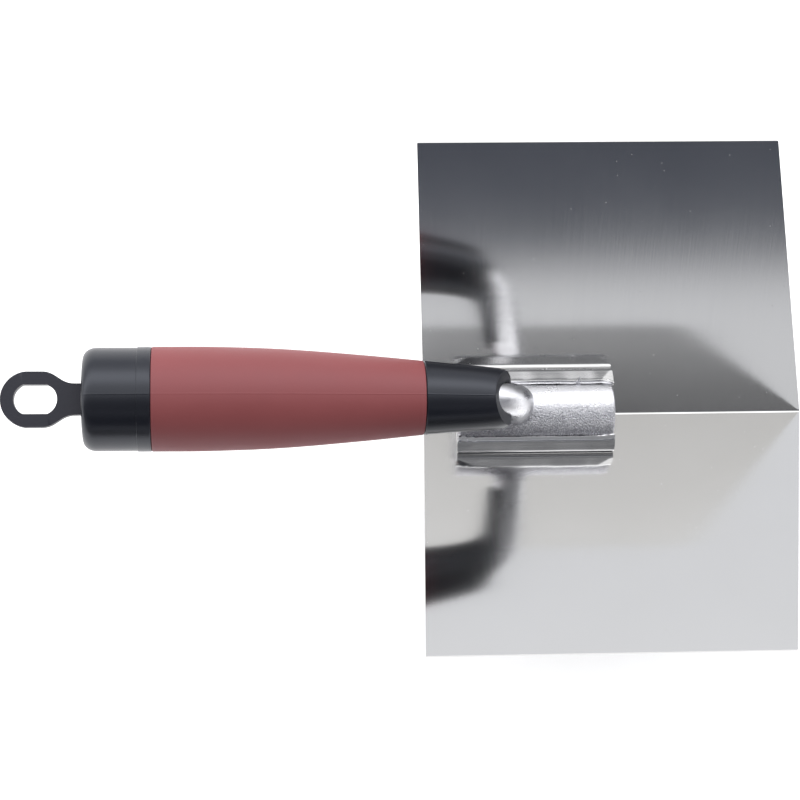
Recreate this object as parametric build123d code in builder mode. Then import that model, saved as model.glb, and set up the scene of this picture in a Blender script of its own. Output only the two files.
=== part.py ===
from build123d import *
import os
from math import cos, radians, sin, tan

# Inside corner trowel: a folded stainless blade, a steel channel welded in the fold, an aluminium
# casting held by the channel, and an overmoulded handle on the casting's tang.
# Sizes are in mm. +X runs along the fold towards the toe, +Z is the bisector of the two wings on
# the handle's side, and the part is symmetric about XZ. The origin is under the middle of the
# overall length, at the underside of the fold.

# Blade
crease_length = 127.0
wing_width = 99.1
half_angle = 51.5
sheet = 0.7
bend_inner_radius = 0.8
heel_sweep = 4.0
toe_sweep = 19.7
blade_corner_radius = 0.3

# Steel channel in the fold, in distances out along a wing's inner face and square to it
channel_start = 10.2
channel_length = 51.4
channel_sheet = 1.2
channel_floor = 17.8
channel_wall = 6.0
channel_rim = 1.6
rim_curl = 6.0
channel_bend_radius = 1.3
rim_bend_radius = 2.2
fold_bend_radius = 2.6

# Aluminium casting
casting_end_gap = 0.25
casting_side_gap = 0.3
casting_top = 20.5
casting_round_radius = 9.9
casting_foot_height = 5.0
casting_foot_chamfer = 1.2
casting_keel = 2.9
casting_corner_radius = 1.0
post_x = 28.9
post_radius = 5.1
post_fillet = 1.6
post_lean = 4.5
elbow_radius = 16.3
tang_rear_x = -62.0
tang_groove_depth = 1.2
tang_groove_width = 4.0
tang_groove_count = 3
tang_groove_pitch = 14.0

# Handle: stations are distances back along its axis from the front end of the grip
handle_front_x = -3.15
handle_front_z = 55.57
handle_rise = 3.5
front_half_width = 11.3
front_height_ratio = 0.92
grip_length = 81.7
cap_length = 20.2
cap_collar_length = 4.2
cap_radius = 15.47
cap_collar_radius = 15.7
cap_height_ratio = 0.96
cap_edge_radius = 4.0
skin_thickness = 2.6
core_front = 4.0
core_rear = 94.8

# Oval sections of the grip: station, half width, height over width
grip_sections = (
    (0.0, front_half_width, front_height_ratio),
    (19.3, 13.15, 0.92),
    (43.4, 15.0, 0.93),
    (64.8, 15.72, 0.95),
    (grip_length, 15.72, 0.96),
)

# Oval sections of the neck: distance ahead of the heel, height over the fold, dip of the section's
# axis below +X in degrees, half width, half depth
neck_sections = (
    (handle_front_x, handle_front_z, handle_rise, front_half_width, front_half_width * front_height_ratio),
    (6.5, 54.15, 6.0, 10.5, 9.5),
    (15.5, 52.1, 18.0, 9.75, 8.9),
    (21.0, 49.4, 42.0, 8.8, 8.5),
    (25.0, 45.1, 64.0, 7.5, 8.0),
    (27.0, 39.6, 85.5, 7.0, 7.5),
    (28.5, 25.4, 85.5, 6.8, 7.1),
)
neck_lip = ((16.6, 64.0), (24.2, 50.0), (25.2, 44.0), (26.8, 20.0))
beyond_lip = ((60.0, 20.0), (60.0, 75.0), (10.6, 75.0))

# Hang tab: lengths are measured back from the cap's rear end
tab_length = 24.4
tab_thickness = 3.6
tab_half_width = 8.3
tab_neck_half_width = 4.7
tab_neck_end = 2.6
tab_flat_start = 12.2
tab_flat_end = 17.1
tab_root = 12.0
slot_centre = 14.1
slot_length = 12.9
slot_width = 8.8
slot_end_radius = 4.8

# Derived places
handle_length = grip_length + cap_length
handle_slope = radians(handle_rise)
butt_reach = (handle_length + tab_length) * cos(handle_slope) - handle_front_x
heel_x = (butt_reach - crease_length) / 2
wing_sin = sin(radians(half_angle))
wing_cos = cos(radians(half_angle))
crease_z = sheet + bend_inner_radius - bend_inner_radius / wing_sin


def place(x, z):
    """Point in the symmetry plane, from its distance ahead of the heel and its height over the fold."""
    return Vector(heel_x + x, 0, crease_z + z)


def along_handle(station):
    """Point on the handle's axis."""
    return place(handle_front_x - station * cos(handle_slope), handle_front_z + station * sin(handle_slope))


def dipped_plane(origin, dip):
    """Plane across XZ with its X on +Y, whose normal dips below +X."""
    return Plane(origin=origin, x_dir=(0, 1, 0), z_dir=(cos(radians(dip)), 0, -sin(radians(dip))))


def handle_plane(station):
    """Plane across the handle's axis, facing the nose."""
    return dipped_plane(along_handle(station), handle_rise)


def wing_point(along, up):
    """YZ section point, from a distance out along the +Y wing's inner face and one off that face."""
    return (along * wing_sin - up * wing_cos, crease_z + along * wing_cos + up * wing_sin)


def both_sides(points):
    """YZ section points from the +Y side to the -Y side: these, then their mirror images in reverse."""
    other_side = [(-y, z) for y, z in reversed(points) if y > 0]
    return [*points, *other_side]


# The blade: one sheet folded along X, then trimmed to its swept outline
sheet_line = both_sides([wing_point(wing_width, -sheet / 2), (0, crease_z - sheet / 2 / wing_sin)])
plan_half_width = wing_width * wing_sin + sheet
heel_reach = heel_sweep * plan_half_width / (wing_width * wing_sin)
toe_reach = toe_sweep * plan_half_width / (wing_width * wing_sin)
toe_x = heel_x + crease_length
blade_plan = [
    (heel_x, 0),
    (heel_x - heel_reach, plan_half_width),
    (toe_x - toe_reach, plan_half_width),
    (toe_x, 0),
    (toe_x - toe_reach, -plan_half_width),
    (heel_x - heel_reach, -plan_half_width),
]
with BuildPart() as blade:
    with BuildSketch(Plane.YZ.offset(heel_x - heel_reach)):
        with BuildLine():
            FilletPolyline(*sheet_line, radius=bend_inner_radius + sheet / 2)
        trace(line_width=sheet)
    extrude(amount=crease_length + heel_reach)
    with BuildSketch(Plane.XY.offset(-sheet)):
        Polygon(*blade_plan, align=None)
    extrude(amount=wing_width, mode=Mode.INTERSECT)
    wing_edges = blade.faces().sort_by(Axis.Z)[-2:]
    corner_edges = wing_edges.edges().filter_by(lambda edge: edge.length < 2 * sheet)
    fillet(corner_edges, radius=blade_corner_radius)
blade.part.label = "blade"

# The channel: floor on the wings, walls square to them, and rims curled in over the casting
curl = radians(rim_curl)
wall_top = channel_wall + channel_sheet / 2
channel_line = both_sides(
    [
        wing_point(channel_floor - channel_rim * sin(curl), wall_top + channel_rim * cos(curl)),
        wing_point(channel_floor, wall_top),
        wing_point(channel_floor, channel_sheet / 2),
        (0, crease_z + channel_sheet / 2 / wing_sin),
    ]
)
side_radii = (rim_bend_radius, channel_bend_radius)
with BuildPart() as mount_channel:
    with BuildSketch(Plane.YZ.offset(heel_x + channel_start)):
        with BuildLine():
            FilletPolyline(*channel_line, radius=(*side_radii, fold_bend_radius, *reversed(side_radii)))
        trace(line_width=channel_sheet)
    extrude(amount=channel_length)
mount_channel.part.label = "mount_channel"

# The casting: a half-round body lying in the channel, a post, and an elbow into the grooved tang
casting_start = channel_start + casting_end_gap
casting_length = channel_length - 2 * casting_end_gap
side_along = channel_floor - channel_sheet / 2 - casting_side_gap
round_z = casting_top - casting_round_radius
foot_outline = both_sides(
    [
        wing_point(side_along, casting_foot_height),
        wing_point(side_along, channel_sheet + casting_foot_chamfer),
        wing_point(side_along - casting_foot_chamfer, channel_sheet),
        wing_point(casting_keel, channel_sheet),
    ]
)
above_floor = both_sides(
    [
        (wing_width, wing_width),
        wing_point(wing_width, channel_sheet),
        wing_point(casting_keel, channel_sheet),
    ]
)
lean = radians(post_lean)
post_foot_x = post_x + (casting_top - round_z) * tan(lean)
axis_over_foot = handle_front_z - (post_foot_x - handle_front_x) * tan(handle_slope)
elbow_x = post_foot_x - (axis_over_foot - round_z) * tan(lean) / (1 - tan(lean) * tan(handle_slope))
elbow_z = handle_front_z - (elbow_x - handle_front_x) * tan(handle_slope)
tang_rear_z = handle_front_z + (handle_front_x - tang_rear_x) * tan(handle_slope)
tang_rear_station = (handle_front_x - tang_rear_x) / cos(handle_slope)
with BuildPart() as mount_casting:
    with BuildSketch(Plane.YZ.offset(heel_x + casting_start)):
        Polygon(*foot_outline, align=None)
        with Locations((0, crease_z + round_z)):
            Circle(casting_round_radius)
        Polygon(*above_floor, align=None, mode=Mode.INTERSECT)
    extrude(amount=casting_length)
    end_edges = mount_casting.faces().filter_by(Axis.X).edges()
    fillet(end_edges.group_by(Axis.Z)[-1], radius=casting_corner_radius)
    with BuildSketch(dipped_plane(place(post_foot_x, round_z), -90 - post_lean)):
        Circle(post_radius)
    with BuildLine():
        FilletPolyline(
            place(post_foot_x, round_z),
            place(elbow_x, elbow_z),
            place(tang_rear_x, tang_rear_z),
            radius=elbow_radius,
        )
    sweep()
    post_base = mount_casting.edges().filter_by(GeomType.BSPLINE).sort_by(SortBy.LENGTH)[-1]
    fillet(post_base, radius=post_fillet)
    for groove in range(tang_groove_count):
        with BuildSketch(handle_plane(tang_rear_station - tang_groove_pitch * (groove + 0.5))):
            Circle(2 * post_radius)
            Circle(post_radius - tang_groove_depth, mode=Mode.SUBTRACT)
        extrude(amount=tang_groove_width, mode=Mode.SUBTRACT)
mount_casting.part.label = "mount_casting"

# The core: hard plastic moulded on the tang, with the hang tab on its rear end
tab_plane = Plane(
    origin=along_handle(handle_length),
    x_dir=(-cos(handle_slope), 0, sin(handle_slope)),
    z_dir=(sin(handle_slope), 0, cos(handle_slope)),
)
core_stations = (core_front, *[station for station, _, _ in grip_sections[1:-1]], core_rear)
with BuildPart() as handle_core:
    with BuildSketch(tab_plane):
        with BuildLine():
            side = Line((-tab_root, tab_neck_half_width), (tab_neck_end, tab_neck_half_width))
            flare = Spline(side @ 1, (tab_flat_start, tab_half_width), tangents=((1, 0), (1, 0)))
            flat = Line(flare @ 1, (tab_flat_end, tab_half_width))
            mirror(about=Plane.XZ)
            ThreePointArc(flat @ 1, (tab_length, 0), (tab_flat_end, -tab_half_width))
            Line(side @ 0, (-tab_root, -tab_neck_half_width))
        make_face()
        with BuildSketch(mode=Mode.SUBTRACT):
            with Locations((slot_centre, 0)):
                SlotOverall(slot_length, 2 * slot_end_radius)
                Rectangle(slot_length, slot_width, mode=Mode.INTERSECT)
    extrude(amount=tab_thickness / 2, both=True)
    for station, (_, half_width, ratio) in zip(core_stations, grip_sections):
        with BuildSketch(handle_plane(station)):
            Ellipse(half_width - skin_thickness, half_width * ratio - skin_thickness)
    loft()
    add(mount_casting.part, mode=Mode.SUBTRACT)
handle_core.part.label = "handle_core"

# The soft skins: each is its outer form, less the core and the tang that it covers
with BuildPart() as grip_sleeve:
    for station, half_width, ratio in grip_sections:
        with BuildSketch(handle_plane(station)):
            Ellipse(half_width, half_width * ratio)
    loft()
    add(handle_core.part, mode=Mode.SUBTRACT)
    add(mount_casting.part, mode=Mode.SUBTRACT)
grip_sleeve.part.label = "grip_sleeve"

ahead_of_lip = [(heel_x + x, crease_z + z) for x, z in (*neck_lip, *beyond_lip)]
with BuildPart() as neck_boot:
    for x, z, dip, half_width, half_depth in neck_sections:
        with BuildSketch(dipped_plane(place(x, z), dip)):
            Ellipse(half_width, half_depth)
    loft()
    add(mount_casting.part, mode=Mode.SUBTRACT)
    with BuildSketch(Plane.XZ):
        with BuildLine():
            Polyline(*ahead_of_lip, close=True)
        make_face()
    extrude(amount=wing_width, both=True, mode=Mode.SUBTRACT)
neck_boot.part.label = "neck_boot"

with BuildPart() as end_cap:
    with BuildSketch(handle_plane(handle_length)):
        Ellipse(cap_radius, cap_radius * cap_height_ratio)
    extrude(amount=cap_length)
    fillet(end_cap.edges().sort_by(Axis.X)[0], radius=cap_edge_radius)
    with BuildSketch(handle_plane(grip_length + cap_collar_length)):
        Ellipse(cap_collar_radius, cap_collar_radius * cap_height_ratio)
    extrude(amount=cap_collar_length)
    add(handle_core.part, mode=Mode.SUBTRACT)
end_cap.part.label = "end_cap"

os.makedirs("parts", exist_ok=True)
for piece in (blade, mount_channel, mount_casting, handle_core, grip_sleeve, neck_boot, end_cap):
    export_step(piece.part, f"parts/{piece.part.label}.step")
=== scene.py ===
import math
import random
import bmesh
import bpy
from mathutils import Euler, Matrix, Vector


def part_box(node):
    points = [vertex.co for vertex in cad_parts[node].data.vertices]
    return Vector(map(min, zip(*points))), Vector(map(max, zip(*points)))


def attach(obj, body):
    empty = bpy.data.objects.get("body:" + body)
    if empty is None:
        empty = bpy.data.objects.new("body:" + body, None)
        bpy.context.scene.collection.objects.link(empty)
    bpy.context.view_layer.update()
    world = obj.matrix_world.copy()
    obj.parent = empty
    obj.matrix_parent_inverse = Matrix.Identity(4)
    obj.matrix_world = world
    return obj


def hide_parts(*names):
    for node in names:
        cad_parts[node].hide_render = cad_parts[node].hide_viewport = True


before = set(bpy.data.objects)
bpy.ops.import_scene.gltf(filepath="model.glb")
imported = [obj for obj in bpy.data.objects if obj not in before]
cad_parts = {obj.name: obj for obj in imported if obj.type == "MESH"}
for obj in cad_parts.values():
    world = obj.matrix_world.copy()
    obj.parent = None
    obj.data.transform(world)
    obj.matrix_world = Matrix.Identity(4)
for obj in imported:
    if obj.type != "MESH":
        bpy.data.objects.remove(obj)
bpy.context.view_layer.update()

# Inside corner trowel, in the shared frame: +X to the toe, +Z to the handle's side.
# Sizes are in millimetres and MM turns them into metres.
MM = 0.001
SHEET = 0.7
BEND_INNER_RADIUS = 0.8
HALF_ANGLE = math.radians(51.5)
WING_SIN = math.sin(HALF_ANGLE)
WING_COS = math.cos(HALF_ANGLE)
CHANNEL_START = 10.2
CHANNEL_LENGTH = 51.4
HEEL_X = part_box("mount_channel")[0][0] / MM - CHANNEL_START
CREASE_Z = SHEET + BEND_INNER_RADIUS - BEND_INNER_RADIUS / WING_SIN

# Handle: stations run back along its axis from the front end of the grip, and a section is a half
# width and a half depth
FRONT_X = -3.15
FRONT_Z = 55.57
RISE = 3.5
GRIP_LENGTH = 81.7
CAP_LENGTH = 20.2
COLLAR_LENGTH = 4.2
FRONT_SECTION = (11.3, 10.4)
REAR_SECTION = (15.7, 15.08)
COLLAR_SECTION = (15.7, 15.07)
CAP_SECTION = (15.47, 14.85)
GRIP_SECTIONS = (
    (0.0, *FRONT_SECTION),
    (19.3, 13.15, 12.1),
    (43.4, 15.0, 13.95),
    (64.8, 15.7, 14.95),
    (GRIP_LENGTH, *REAR_SECTION),
)
# Neck: ahead of the heel, over the fold, dip in degrees, half width, half depth
NECK_SECTIONS = (
    (FRONT_X, FRONT_Z, RISE, *FRONT_SECTION),
    (6.5, 54.15, 6.0, 10.45, 9.5),
    (15.5, 52.1, 18.0, 9.8, 8.9),
    (20.0, 50.0, 38.0, 9.4, 8.6),
    (23.0, 47.5, 52.0, 8.2, 8.3),
    (25.0, 45.1, 64.0, 6.8, 8.0),
    (27.0, 39.6, 85.5, 6.2, 7.5),
    (28.5, 25.4, 85.5, 6.2, 7.1),
)
# The grip, the boot and the cap's front stop this short of their joints, and their edges are eased
JOINT_GAP = 0.03
SKIN_EDGE = 0.3
COLLAR_FRONT_EDGE = 0.35
COLLAR_REAR_EDGE = 0.2
# Rounding of the cap's rear edge, along the axis and inwards
CAP_ROUND_LENGTH = 3.9
CAP_ROUND_INSET = 3.0
# Heights of the mould's parting ridge
GRIP_RIDGE = 0.06
RUBBER_RIDGE = 0.05
# Fall of the axis over the boot's front edge
FRONT_EDGE_FALL = 0.02
# Front face of the boot beside the post, from top to bottom: ahead of the heel, over the fold
NECK_LIP = ((16.6, 64.0), (24.2, 50.0), (25.2, 44.0), (26.8, 20.0))
LIP_ROUND = 0.45
# Corners of the boot's nose in plan: centre ahead of the heel and to the side, radius, and the
# directions in degrees of the flats that round them
NOSE_CENTRE = (19.5, 4.8)
NOSE_RADIUS = 5.1
NOSE_TURNS = (15, 30, 45, 60, 75)

# Casting: the half-round body's ridge and radius, and the rod, which is the post, the elbow and the
# straight length that enters the handle
CASTING_TOP = 20.5
CASTING_ROUND = 9.9
POST_RADIUS = 5.1
POST_X = 28.9
POST_LEAN = math.radians(4.5)
ELBOW_RADIUS = 16.3
ELBOW_STEPS = 24
ROD_INSIDE = 24
BOOT_GAP = 0.22

# Channel: distance along the wing and height over it of the sheet's middle
CHANNEL_SHEET = 1.2
CHANNEL_EDGE = 0.18
WALL_ALONG = 17.8
WALL_MIDDLE = 0.6
WALL_CORNER = 1.3
WALL_FOOT = WALL_MIDDLE + WALL_CORNER
WALL_STEPS = 7
FLOOR_ALONG = (0.7, 2.8, 5.6, 8.4, 11.2, 14.0, 15.4)
RIM_BEND = 1.1
RIM_STEPS = 4
# By side: lean in degrees, height where the rim begins, the rim's curl in degrees and the length of
# its straight edge
WALLS = {1: (5, 6.9, 4.0, 0.72), -1: (0.3, 5.6, 38.0, 1.0)}
# Crimps at the walls' ends: side, end (0 rear, 1 front), length, depth, crumple
CRIMPS = (
    (-1, 0, 8.5, 0.95, 0.2),
    (-1, 1, 6.2, 0.75, 0.06),
    (1, 0, 4.5, 0.8, 0.1),
    (1, 1, 4.2, 0.9, 0.05),
)
CRIMPED_LENGTH = 9
CRIMPED_SPACING = 0.4
PLAIN_SPACING = 1.6

# Moulding marks on the casting: a parting bead along the ridge and a flake of flash by the +Y wall.
# The bead has places ahead of the heel with their heights, and a section of offsets to the side with
# their shares of the height
BEAD_HEIGHTS = ((36.4, 0.02), (37.5, 0.07), (48, 0.05), (55, 0.08), (60.4, 0.06), (60.9, 0.01))
BEAD_SECTION = ((0.22, 0), (0.1, 0.8), (0.0, 1), (-0.06, 0.7), (-0.16, 0))
BEAD_SUNK = 0.06
FLAKE = (
    (49.0, 8.2, 16.6), (50.6, 8.3, 16.5), (50.3, 9.0, 17.0), (50.5, 9.9, 17.5),
    (50.1, 10.4, 17.9), (49.9, 9.6, 17.6), (49.4, 8.9, 17.2),
)
FLAKE_SHIFT = 0.05
FLAKE_THICKNESS = 0.35

# Tones: the darkest and the lightest of each material
BLADE_TONES = ((0.59, 0.587, 0.58), (0.615, 0.613, 0.61))
CHANNEL_TONES = ((0.74, 0.74, 0.75), (0.92, 0.92, 0.93))
# The casting's dark end serves both its grain and the painted shade on its -Y half
CASTING_TONES = ((0.44, 0.44, 0.48), (0.95, 0.95, 0.97))
RED_TONES = ((0.222, 0.051, 0.051), (0.264, 0.064, 0.065))
RUBBER_TONES = ((0.0015, 0.0018, 0.0045), (0.005, 0.0055, 0.0095))
CORE_TONES = ((0.005, 0.0055, 0.015), (0.012, 0.0125, 0.024))
PAPER_TONES = ((0.93, 0.93, 0.93), (0.96, 0.96, 0.96))

# Studio: a floor just below the blade and a sky whose stops give a direction round the fold's axis, in
# degrees from the -Y horizon over the top, its level and its blue
FLOOR_HALF = 3000
FLOOR_LEVEL = -0.5
SKY_STRENGTH = 3.0
SKY_STOPS = (
    (0, 0.035, 1.0), (14, 0.06, 1.0), (17.5, 0.31, 1.05), (22.8, 0.31, 1.05), (23.5, 0.085, 1.15),
    (24.3, 0.037, 1.35), (27.5, 0.03, 1.4), (40, 0.04, 1.2), (53, 0.07, 1.1), (54.8, 0.36, 1.05),
    (55.8, 0.37, 1.05), (56.5, 0.14, 1.04), (56.9, 0.095, 1.05), (57.6, 0.08, 1.08), (60, 0.08, 1.08),
    (85, 0.1, 1.05), (92.8, 0.16, 1.05), (95.3, 0.57, 1.02), (103, 0.57, 1.0), (108, 0.445, 1.0),
    (110, 0.44, 0.99), (114.6, 0.53, 1.0), (121, 0.72, 1.02), (126, 1.0, 1.02), (142, 1.0, 1.02),
    (148, 0.62, 1.02), (158, 0.42, 1.02), (166, 0.353, 1.05), (180, 0.333, 1.07),
)
CAMERA_OFFSET = Vector((-7.986, 5.158, 600.0))
CAMERA_TURN = Euler((math.radians(6.03), math.radians(-2.346), math.radians(-0.674)), "ZYX")
CAMERA_LENS = 80.64


def place(x, y, z):
    """Point from its distance ahead of the heel, to the side, and over the fold, in metres."""
    return Vector((HEEL_X + x, y, CREASE_Z + z)) * MM


def wing_point(x, along, up, side):
    """Point ahead of the heel, out along one wing's inner face, and up off that face."""
    return place(x, side * (along * WING_SIN - up * WING_COS), along * WING_COS + up * WING_SIN)


def handle_point(station):
    """Place and dip of the handle's axis, in millimetres and degrees."""
    slope = math.radians(RISE)
    return FRONT_X - station * math.cos(slope), FRONT_Z + station * math.sin(slope), RISE


# Shading
def maths(tree, operation, first, second):
    """Output of a node that works on two sockets or numbers."""
    node = tree.nodes.new("ShaderNodeMath")
    node.operation = operation
    for socket, value in zip(node.inputs, (first, second)):
        if isinstance(value, (int, float)):
            socket.default_value = value
        else:
            tree.links.new(value, socket)
    return node.outputs[0]


class Shader:
    """A Principled material with procedural detail in object space."""

    def __init__(self, name, **constants):
        self.material = bpy.data.materials.new(name)
        self.material.use_nodes = True
        self.tree = self.material.node_tree
        self.nodes = self.tree.nodes
        self.links = self.tree.links
        self.principled = self.nodes["Principled BSDF"]
        for socket, value in constants.items():
            self.principled.inputs[socket.replace("_", " ")].default_value = value
        self.coords = self.nodes.new("ShaderNodeTexCoord").outputs["Object"]
        self.normal = None

    def noise(self, scale, stretch=(1, 1, 1), detail=2.0, roughness=0.5):
        """Noise whose scale counts features in a metre."""
        mapping = self.nodes.new("ShaderNodeMapping")
        mapping.inputs["Scale"].default_value = stretch
        texture = self.nodes.new("ShaderNodeTexNoise")
        texture.inputs["Scale"].default_value = scale
        texture.inputs["Detail"].default_value = detail
        texture.inputs["Roughness"].default_value = roughness
        self.links.new(self.coords, mapping.inputs["Vector"])
        self.links.new(mapping.outputs[0], texture.inputs["Vector"])
        return texture.outputs["Fac"]

    def specks(self, scale, size):
        """1 in sparse round specks, 0 elsewhere."""
        texture = self.nodes.new("ShaderNodeTexVoronoi")
        texture.inputs["Scale"].default_value = scale
        self.links.new(self.coords, texture.inputs["Vector"])
        return self.spread(texture.outputs["Distance"], 0.6 * size, size, 1.0, 0.0)

    def spread(self, value, from_low, from_high, to_low, to_high):
        """The value moved from one range to another, and held inside it."""
        remap = self.nodes.new("ShaderNodeMapRange")
        for socket, number in zip(("From Min", "From Max", "To Min", "To Max"),
                                  (from_low, from_high, to_low, to_high)):
            remap.inputs[socket].default_value = number
        self.links.new(value, remap.inputs["Value"])
        return remap.outputs[0]

    def add(self, first, second):
        return maths(self.tree, "ADD", first, second)

    def multiply(self, first, second):
        return maths(self.tree, "MULTIPLY", first, second)

    def blend(self, share, low, high):
        mix = self.nodes.new("ShaderNodeMix")
        mix.data_type = "RGBA"
        mix.inputs["A"].default_value = (*low, 1)
        mix.inputs["B"].default_value = (*high, 1)
        self.links.new(share, mix.inputs["Factor"])
        return mix.outputs["Result"]

    def set(self, socket, output):
        self.links.new(output, self.principled.inputs[socket])

    def bump(self, height, depth, strength=1.0):
        """Relief of a depth in millimetres, laid over the reliefs before it."""
        bump = self.nodes.new("ShaderNodeBump")
        bump.inputs["Distance"].default_value = depth * MM
        bump.inputs["Strength"].default_value = strength
        self.links.new(height, bump.inputs["Height"])
        if self.normal:
            self.links.new(self.normal, bump.inputs["Normal"])
        self.normal = bump.outputs[0]
        self.set("Normal", self.normal)


def brushed_steel():
    """The brushing runs across the wings and spreads reflections along X."""
    steel = Shader("blade_steel", Metallic=1.0, Anisotropic=0.9)
    patches = steel.noise(35, detail=3.0)
    brushing = steel.noise(2600, (1, 0.02, 0.02), detail=2.0)
    flecks = steel.specks(240, 0.045)
    steel.set("Base Color", steel.blend(patches, *BLADE_TONES))
    patch_roughness = steel.spread(patches, 0.3, 0.7, 0.12, 0.134)
    brush_roughness = steel.spread(brushing, 0.3, 0.7, 0, 0.015)
    fleck_roughness = steel.spread(flecks, 0, 1, 0, 0.25)
    steel.set("Roughness", steel.add(steel.add(patch_roughness, brush_roughness), fleck_roughness))
    along_fold = steel.nodes.new("ShaderNodeCombineXYZ")
    along_fold.inputs["X"].default_value = 1.0
    steel.set("Tangent", along_fold.outputs[0])
    steel.bump(brushing, 0.007)
    steel.bump(flecks, 0.006, 0.4)
    return steel.material


def plated_steel():
    steel = Shader("channel_steel", Metallic=1.0)
    streaks = steel.noise(1100, (0.025, 1, 1), detail=3.0, roughness=0.6)
    dings = steel.noise(150, (0.5, 1, 1), detail=2.0)
    steel.set("Base Color", steel.blend(streaks, *CHANNEL_TONES))
    streak_roughness = steel.spread(streaks, 0.3, 0.7, 0.10, 0.16)
    ding_roughness = steel.spread(dings, 0.4, 0.7, 0, 0.05)
    steel.set("Roughness", steel.add(streak_roughness, ding_roughness))
    steel.bump(streaks, 0.004, 0.4)
    steel.bump(dings, 0.01, 0.3)
    return steel.material


def cast_aluminium():
    """As-cast grain on the body's -Y half, which also has painted shade: a darker tone for the side turned
    away from the light. The +Y half, the ridge and the post are smoother and lighter.
    """
    metal = Shader("cast_aluminium", Metallic=1.0)
    grains = metal.noise(1900, detail=3.0, roughness=0.7)
    waves = metal.noise(260, detail=2.0)
    pits = metal.specks(1100, 0.22)
    axes = metal.nodes.new("ShaderNodeSeparateXYZ")
    metal.links.new(metal.coords, axes.inputs[0])
    # Mask of the body's -Y half below the ridge: it carries the as-cast grain and painted shade, a darker
    # tone for the side away from the light
    low = metal.spread(axes.outputs["Z"], (CASTING_TOP + 1) * MM, (CASTING_TOP + 3) * MM, 1.0, 0.12)
    grainy_shaded_side = metal.spread(axes.outputs["Y"], -2.5 * MM, 2.5 * MM, 1.0, 0.2)
    share = metal.multiply(low, grainy_shaded_side)
    grain = metal.multiply(metal.spread(grains, 0.35, 0.65, -0.5, 0.5), share)
    grain_tone = metal.spread(grain, -0.5, 0.5, 0.1, 1.1)
    # Painted shade: the masked -Y half is made darker by 0.35 of the tone range
    grain_and_shade_tone = metal.add(grain_tone, metal.spread(share, 0, 1, 0, -0.35))
    metal.set("Base Color", metal.blend(grain_and_shade_tone, *CASTING_TONES))
    wave_roughness = metal.spread(waves, 0.3, 0.7, 0.24, 0.36)
    metal.set("Roughness", metal.add(wave_roughness, metal.spread(pits, 0, 1, 0, 0.15)))
    metal.bump(waves, 0.14, 0.45)
    metal.bump(grain, 0.24, 0.9)
    metal.bump(pits, 0.015, 0.4)
    return metal.material


def soft_skin(name, tones, smoothest, roughest, shine):
    """Soft-touch moulding with a fine grain, smudges and a little lint."""
    skin = Shader(name, Specular_IOR_Level=shine, Specular_Tint=(0.86, 0.9, 1, 1))
    smudges = skin.noise(45, detail=4.0, roughness=0.6)
    grain = skin.noise(2200, detail=2.0)
    lint = skin.specks(210, 0.045)
    skin.set("Base Color", skin.blend(skin.add(smudges, skin.spread(lint, 0, 1, 0, 0.9)), *tones))
    skin.set("Roughness", skin.spread(smudges, 0.3, 0.7, smoothest, roughest))
    skin.bump(grain, 0.03, 0.45)
    skin.bump(smudges, 0.2, 0.12)
    return skin.material


def core_plastic():
    core = Shader("core_plastic", Specular_IOR_Level=0.5)
    smudges = core.noise(60, detail=4.0)
    pebbles = core.noise(1500, detail=2.0)
    core.set("Base Color", core.blend(smudges, *CORE_TONES))
    core.set("Roughness", core.spread(smudges, 0.3, 0.7, 0.36, 0.5))
    core.bump(pebbles, 0.06, 0.5)
    return core.material


def floor_paper():
    paper = Shader("floor_paper", Roughness=0.85, Emission_Color=(1, 1, 1, 1), Emission_Strength=0.5)
    fibres = paper.noise(300, detail=3.0)
    paper.set("Base Color", paper.blend(fibres, *PAPER_TONES))
    return paper.material


# Meshes
# A ring has even steps and closer ones beside its top and bottom, where the parting ridge is
RING_STEPS = 96
SEAMS = (math.pi / 2, 1.5 * math.pi)
SEAM_OFFSETS = (-0.026, -0.013, 0.013, 0.026)


def ring_angles():
    angles = [2 * math.pi * step / RING_STEPS for step in range(RING_STEPS)]
    angles += [seam + offset for seam in SEAMS for offset in SEAM_OFFSETS]
    return sorted(angles)


def ring(x, z, dip, half_width, half_depth, ridge=0.0):
    """Oval round a place in the symmetry plane. Only the parting ridge, at its top and bottom,
    reaches the full half depth."""
    dip = math.radians(dip)
    points = []
    for angle in ring_angles():
        on_seam = abs(math.cos(angle)) < 1e-6
        inset = 0.0 if on_seam else ridge
        y = half_width * math.cos(angle)
        up = (half_depth - inset) * math.sin(angle)
        points.append(place(x + up * math.sin(dip), y, z + up * math.cos(dip)))
    return points


def smooth_rows(rows, spacing):
    """Rows interpolated by a cubic through each column; the first column is the running distance."""
    def slope(index, column):
        before, after = rows[max(index - 1, 0)], rows[min(index + 1, len(rows) - 1)]
        return (after[column] - before[column]) / (after[0] - before[0])

    result = []
    for index in range(len(rows) - 1):
        start, end = rows[index], rows[index + 1]
        span = end[0] - start[0]
        steps = max(1, round(span / spacing))
        for step in range(steps):
            t = step / steps
            basis = (2*t**3 - 3*t**2 + 1, t**3 - 2*t**2 + t, -2*t**3 + 3*t**2, t**3 - t**2)
            result.append([
                basis[0] * start[c] + basis[1] * span * slope(index, c)
                + basis[2] * end[c] + basis[3] * span * slope(index + 1, c)
                for c in range(len(start))
            ])
    return result + [list(rows[-1])]


def closed_tube(rings):
    """Mesh through the rings, with flat ends."""
    mesh = bmesh.new()
    loops = [[mesh.verts.new(point) for point in points] for points in rings]
    count = len(loops[0])
    for near, far in zip(loops, loops[1:]):
        for index in range(count):
            follow = (index + 1) % count
            mesh.faces.new((near[index], near[follow], far[follow], far[index]))
    mesh.faces.new(loops[0][::-1])
    mesh.faces.new(loops[-1])
    bmesh.ops.recalc_face_normals(mesh, faces=mesh.faces)
    return mesh


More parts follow.
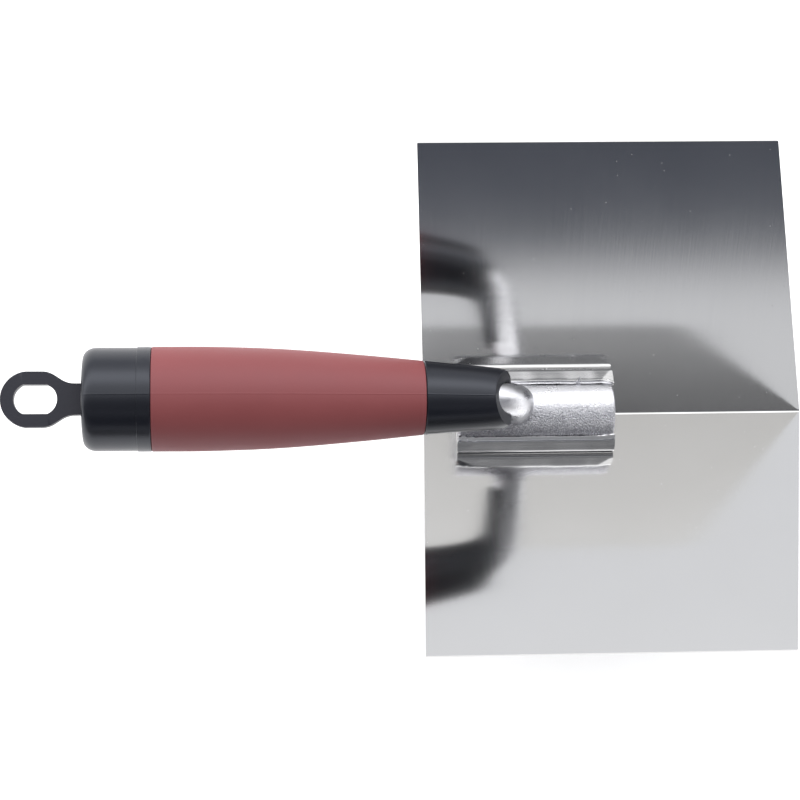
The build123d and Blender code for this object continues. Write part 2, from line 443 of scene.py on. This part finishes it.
def mesh_object(name, mesh):
    """Object of the mesh, linked into the scene."""
    data = bpy.data.meshes.new(name)
    mesh.to_mesh(data)
    mesh.free()
    item = bpy.data.objects.new(name, data)
    bpy.context.scene.collection.objects.link(item)
    return item


def shade(data, sharp=35.0):
    """Smooth shading, broken at edges that turn by more than an angle in degrees."""
    data.shade_smooth()
    data.set_sharp_from_angle(angle=math.radians(sharp))


def add_piece(name, mesh, material, sharp=35.0):
    piece = mesh_object(name, mesh)
    piece.data.materials.append(material)
    shade(piece.data, sharp)
    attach(piece, "root")
    return piece


def round_edges(piece, name, width, segments, angle):
    """Bevel on the edges that turn by more than an angle in degrees."""
    bevel = piece.modifiers.new(name, "BEVEL")
    bevel.width = width * MM
    bevel.segments = segments
    bevel.limit_method = "ANGLE"
    bevel.angle_limit = math.radians(angle)


def soften(node, width, segments, angle):
    """Rounds the sharp edges of a carried-over node."""
    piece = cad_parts[node]
    weld = piece.modifiers.new("weld", "WELD")
    weld.merge_threshold = 1e-6
    round_edges(piece, "bevel", width, segments, angle)


def cut_flat(mesh, origin, normal):
    """Cuts away what lies ahead of a plane and closes the cut."""
    cut = bmesh.ops.bisect_plane(mesh, geom=[*mesh.verts, *mesh.edges, *mesh.faces], dist=1e-8,
                                 plane_co=origin, plane_no=normal, clear_outer=True)
    edges = [item for item in cut["geom_cut"] if isinstance(item, bmesh.types.BMEdge)]
    if edges:
        bmesh.ops.edgeloop_fill(mesh, edges=edges)
    bmesh.ops.recalc_face_normals(mesh, faces=mesh.faces)


def carve(piece, cutter_mesh):
    """Takes the cutter's volume out of the piece's mesh."""
    cutter = mesh_object("cutter", cutter_mesh)
    modifier = piece.modifiers.new("carve", "BOOLEAN")
    modifier.operation = "DIFFERENCE"
    modifier.solver = "EXACT"
    modifier.object = cutter
    carved = bpy.data.meshes.new_from_object(piece.evaluated_get(bpy.context.evaluated_depsgraph_get()))
    piece.modifiers.clear()
    piece.data = carved
    bpy.data.objects.remove(cutter)


def rounded_end(station, section, radius, away):
    """Rows that round an edge off towards an end; away is -1 at the front end and 1 at the rear."""
    half_width, half_depth = section
    rows = []
    for step in range(4):
        angle = math.radians(30 * step)
        inset = radius * (1 - math.cos(angle))
        rows.append((station - away * radius * (1 - math.sin(angle)), half_width - inset, half_depth - inset))
    return rows if away > 0 else rows[::-1]


def handle_rings(rows, ridge):
    return [ring(*handle_point(station), width, depth, ridge) for station, width, depth in rows]


def add_grip(material):
    ends = 2 * SKIN_EDGE
    body = [row for row in smooth_rows(GRIP_SECTIONS, 2.0) if ends < row[0] < GRIP_LENGTH - ends]
    front = rounded_end(JOINT_GAP, FRONT_SECTION, SKIN_EDGE, -1)
    rear = rounded_end(GRIP_LENGTH - JOINT_GAP, REAR_SECTION, SKIN_EDGE, 1)
    piece = add_piece("grip_skin", closed_tube(handle_rings([*front, *body, *rear], GRIP_RIDGE)), material)
    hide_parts("grip_sleeve")


def add_cap(material):
    collar_end = GRIP_LENGTH + COLLAR_LENGTH
    rear = GRIP_LENGTH + CAP_LENGTH
    half_width, half_depth = CAP_SECTION
    rows = [
        *rounded_end(GRIP_LENGTH + JOINT_GAP, COLLAR_SECTION, COLLAR_FRONT_EDGE, -1),
        *rounded_end(collar_end, COLLAR_SECTION, COLLAR_REAR_EDGE, 1),
        (collar_end + 0.1, half_width, half_depth),
        *[(collar_end + 2.0 * step, half_width, half_depth) for step in range(1, 6)],
    ]
    for step in range(9):
        angle = math.radians(11.25 * step)
        inset = CAP_ROUND_INSET * (1 - math.cos(angle))
        station = rear - CAP_ROUND_LENGTH * (1 - math.sin(angle))
        rows.append((station, half_width - inset, half_depth - inset))
    piece = add_piece("butt_cap", closed_tube(handle_rings(rows, RUBBER_RIDGE)), material)
    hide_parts("end_cap")


def post_path():
    """Rows of the cast rod: place and dip down the post's leaning axis, from the handle to the foot."""
    slope = math.radians(RISE)
    fall = math.tan(slope)
    lean = math.tan(POST_LEAN)
    foot_z = CASTING_TOP - CASTING_ROUND
    foot_x = POST_X + (CASTING_TOP - foot_z) * lean
    turn = math.pi / 2 - POST_LEAN - slope
    over_foot = FRONT_Z - (foot_x - FRONT_X) * fall
    corner_x = foot_x - (over_foot - foot_z) * lean / (1 - lean * fall)
    corner_z = FRONT_Z - (corner_x - FRONT_X) * fall
    reach = ELBOW_RADIUS * math.tan(turn / 2)
    start_x = corner_x - reach * math.cos(slope)
    start_z = corner_z + reach * math.sin(slope)
    rows = [(start_x - ROD_INSIDE * math.cos(slope), start_z + ROD_INSIDE * math.sin(slope), RISE)]
    for step in range(ELBOW_STEPS + 1):
        dip = slope + turn * step / ELBOW_STEPS
        rows.append((
            start_x + ELBOW_RADIUS * (math.sin(dip) - math.sin(slope)),
            start_z - ELBOW_RADIUS * (math.cos(slope) - math.cos(dip)),
            math.degrees(dip),
        ))
    rows.append((foot_x, foot_z, math.degrees(slope + turn)))
    return rows


def neck_rows():
    """The neck's sections, each after its running distance from the grip."""
    rows = [(0.0, *NECK_SECTIONS[0])]
    for before, section in zip(NECK_SECTIONS, NECK_SECTIONS[1:]):
        travelled = rows[-1][0] + math.hypot(section[0] - before[0], section[1] - before[1])
        rows.append((travelled, *section))
    return rows


def boot_outside():
    """The boot's outer form, with its front face and the round corners of its nose cut."""
    end_section = [size - SKIN_EDGE for size in FRONT_SECTION]
    edge_x = FRONT_X + (JOINT_GAP + SKIN_EDGE)
    rings = [
        ring(FRONT_X + JOINT_GAP, FRONT_Z, RISE, *end_section, RUBBER_RIDGE),
        ring(edge_x, FRONT_Z - FRONT_EDGE_FALL, RISE, *FRONT_SECTION, RUBBER_RIDGE),
    ]
    rings += [ring(*row[1:], RUBBER_RIDGE) for row in smooth_rows(neck_rows(), 1.2)[1:]]
    outside = closed_tube(rings)
    for (x0, z0), (x1, z1) in zip(NECK_LIP, NECK_LIP[1:]):
        cut_flat(outside, place(x0, 0, z0), Vector((z0 - z1, 0, x1 - x0)).normalized())
    for side in (1, -1):
        centre = place(NOSE_CENTRE[0], side * NOSE_CENTRE[1], 0)
        for turn in NOSE_TURNS:
            outward = Vector((math.cos(math.radians(turn)), side * math.sin(math.radians(turn)), 0))
            cut_flat(outside, centre + outward * NOSE_RADIUS * MM, outward)
    return outside


def add_boot(material):
    piece = add_piece("boot_skin", boot_outside(), material)
    hollow_radius = POST_RADIUS + BOOT_GAP
    carve(piece, closed_tube([ring(*row, hollow_radius, hollow_radius) for row in post_path()]))
    shade(piece.data)
    round_edges(piece, "lip", LIP_ROUND, segments=3, angle=50)
    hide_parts("neck_boot")


def wall_outline(side):
    """Section of one side of the channel; the -Y edge is curled over the casting, the +Y edge stands."""
    lean, wall_end, curl, rim = WALLS[side]
    lean = math.radians(lean)
    curl = math.radians(curl)
    points = [(along, WALL_MIDDLE) for along in FLOOR_ALONG]
    for step in range(7):
        angle = math.radians(15 * step)
        along = WALL_ALONG - WALL_CORNER * (1 - math.sin(angle))
        points.append((along, WALL_MIDDLE + WALL_CORNER * (1 - math.cos(angle))))
    for step in range(1, WALL_STEPS + 1):
        height = (wall_end - WALL_FOOT) * step / WALL_STEPS
        points.append((WALL_ALONG - height * math.tan(lean), WALL_FOOT + height))
    top = points[-1][0]
    for step in range(1, RIM_STEPS + 1):
        angle = curl * step / RIM_STEPS
        points.append((top - RIM_BEND * (1 - math.cos(angle)), wall_end + RIM_BEND * math.sin(angle)))
    bend_along, bend_up = points[-1]
    for share in (0.5, 1.0):
        points.append((bend_along - share * rim * math.sin(curl), bend_up + share * rim * math.cos(curl)))
    return points


def crimp(side, distance, height, wave):
    """Inward push of a wall at a distance from the rear end and a share of the wall's height."""
    push = 0.0
    for crimp_side, end, length, depth, crumple in CRIMPS:
        if crimp_side != side:
            continue
        reach = (CHANNEL_LENGTH - distance if end else distance) / length
        facet = max(0.0, height - reach) if height > 0.02 else 0.0
        push += depth * facet
        if facet > 0:
            push += crumple * min(1.0, 3 * facet) * wave
    return push


def channel_stations():
    """Distances from the channel's rear end, closer together where the walls are crimped."""
    stations = [0.0]
    while stations[-1] < CHANNEL_LENGTH - 0.01:
        near_end = min(stations[-1], CHANNEL_LENGTH - stations[-1]) < CRIMPED_LENGTH
        spacing = CRIMPED_SPACING if near_end else PLAIN_SPACING
        stations.append(min(CHANNEL_LENGTH, stations[-1] + spacing))
    return stations


def channel_side(distance, side, rng):
    """Points of one side of the channel from the fold to its rim, crimped and slightly wavy."""
    outline = wall_outline(side)
    top = outline[-1][1]
    points = []
    for along, up in outline:
        on_wall = along > WALL_ALONG - 3
        height = max(0.0, (up - WALL_FOOT) / (top - WALL_FOOT)) if on_wall else 0.0
        # Unrelated wavelengths, so that no dent repeats
        wave = math.sin(distance * 4.3 + 2.1 * up) * math.cos(distance * 1.9 - 3.2 * up)
        push = crimp(side, distance, height, wave + rng.uniform(-0.25, 0.25))
        waviness = 0.07 * math.sin(distance * 0.33 + side) + 0.05 * math.sin(distance * 0.9)
        points.append(wing_point(CHANNEL_START + distance, along - push - height * waviness, up, side))
    return points


def channel_surface():
    """The sheet's middle, from the +Y rim over the fold to the -Y rim."""
    rng = random.Random(7)
    mesh = bmesh.new()
    rows = []
    for distance in channel_stations():
        left = [mesh.verts.new(point) for point in channel_side(distance, 1, rng)]
        right = [mesh.verts.new(point) for point in channel_side(distance, -1, rng)]
        rows.append([*left[::-1], *right])
    for near, far in zip(rows, rows[1:]):
        for index in range(len(near) - 1):
            mesh.faces.new((near[index], near[index + 1], far[index + 1], far[index]))
    bmesh.ops.recalc_face_normals(mesh, faces=mesh.faces)
    return mesh


def add_channel(material):
    piece = add_piece("channel_sheet", channel_surface(), material, sharp=50)
    thick = piece.modifiers.new("thickness", "SOLIDIFY")
    thick.thickness = CHANNEL_SHEET * MM
    thick.offset = 0
    thick.use_even_offset = True
    round_edges(piece, "edge", CHANNEL_EDGE, segments=2, angle=60)
    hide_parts("mount_channel")


def add_bead(material):
    """The mould's parting bead on the casting's ridge."""
    sunk = CASTING_TOP - BEAD_SUNK
    rings = [[place(x, y, sunk + (height + BEAD_SUNK) * lift) for y, lift in BEAD_SECTION]
             for x, height in BEAD_HEIGHTS]
    add_piece("casting_bead", closed_tube(rings), material)


def add_flake(material):
    top = [place(*point) for point in FLAKE]
    bottom = [place(x + FLAKE_SHIFT, y, z - FLAKE_THICKNESS) for x, y, z in FLAKE]
    add_piece("casting_flake", closed_tube([bottom, top]), material)


# Studio
def add_sky():
    world = bpy.data.worlds.new("studio")
    bpy.context.scene.world = world
    world.use_nodes = True
    tree = world.node_tree
    coords = tree.nodes.new("ShaderNodeTexCoord")
    parts = tree.nodes.new("ShaderNodeSeparateXYZ")
    tree.links.new(coords.outputs["Generated"], parts.inputs[0])
    flipped = maths(tree, "MULTIPLY", parts.outputs["Y"], -1)
    angle = maths(tree, "ARCTAN2", parts.outputs["Z"], flipped)
    ramp = tree.nodes.new("ShaderNodeValToRGB")
    tree.links.new(maths(tree, "DIVIDE", angle, math.pi), ramp.inputs[0])
    elements = ramp.color_ramp.elements
    while len(elements) < len(SKY_STOPS):
        elements.new(0.5)
    for element, (degrees, level, blue) in zip(elements, SKY_STOPS):
        element.position = degrees / 180
        element.color = (level, level * (0.75 + 0.25 * blue), level * blue, 1)
    background = tree.nodes["Background"]
    tree.links.new(ramp.outputs[0], background.inputs["Color"])
    background.inputs["Strength"].default_value = SKY_STRENGTH


def add_floor():
    mesh = bmesh.new()
    corners = [Vector((x * FLOOR_HALF, y * FLOOR_HALF, FLOOR_LEVEL)) * MM
               for x, y in ((-1, -1), (1, -1), (1, 1), (-1, 1))]
    mesh.faces.new([mesh.verts.new(corner) for corner in corners])
    floor = mesh_object("floor", mesh)
    floor.data.materials.append(floor_paper())


def add_camera():
    data = bpy.data.cameras.new("camera")
    data.lens = CAMERA_LENS
    data.sensor_width = 36
    camera = bpy.data.objects.new("camera", data)
    turn = CAMERA_TURN.to_matrix()
    camera.matrix_world = turn.to_4x4()
    camera.location = place(0, 0, 0) + turn @ (CAMERA_OFFSET * MM)
    bpy.context.scene.collection.objects.link(camera)
    bpy.context.scene.camera = camera


aluminium = cast_aluminium()
carried_over = {"blade": brushed_steel(), "mount_casting": aluminium, "handle_core": core_plastic()}
for name, material in carried_over.items():
    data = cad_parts[name].data
    data.materials.clear()
    data.materials.append(material)
soften("handle_core", width=0.7, segments=3, angle=30)
soften("mount_casting", width=0.25, segments=2, angle=40)
rubber = soft_skin("black_rubber", RUBBER_TONES, smoothest=0.27, roughest=0.33, shine=0.6)
add_grip(soft_skin("red_grip", RED_TONES, smoothest=0.50, roughest=0.60, shine=0.5))
add_cap(rubber)
add_boot(rubber)
add_channel(plated_steel())
add_bead(aluminium)
add_flake(aluminium)
add_camera()
add_sky()
add_floor()
bpy.context.scene.view_settings.view_transform = "Standard"
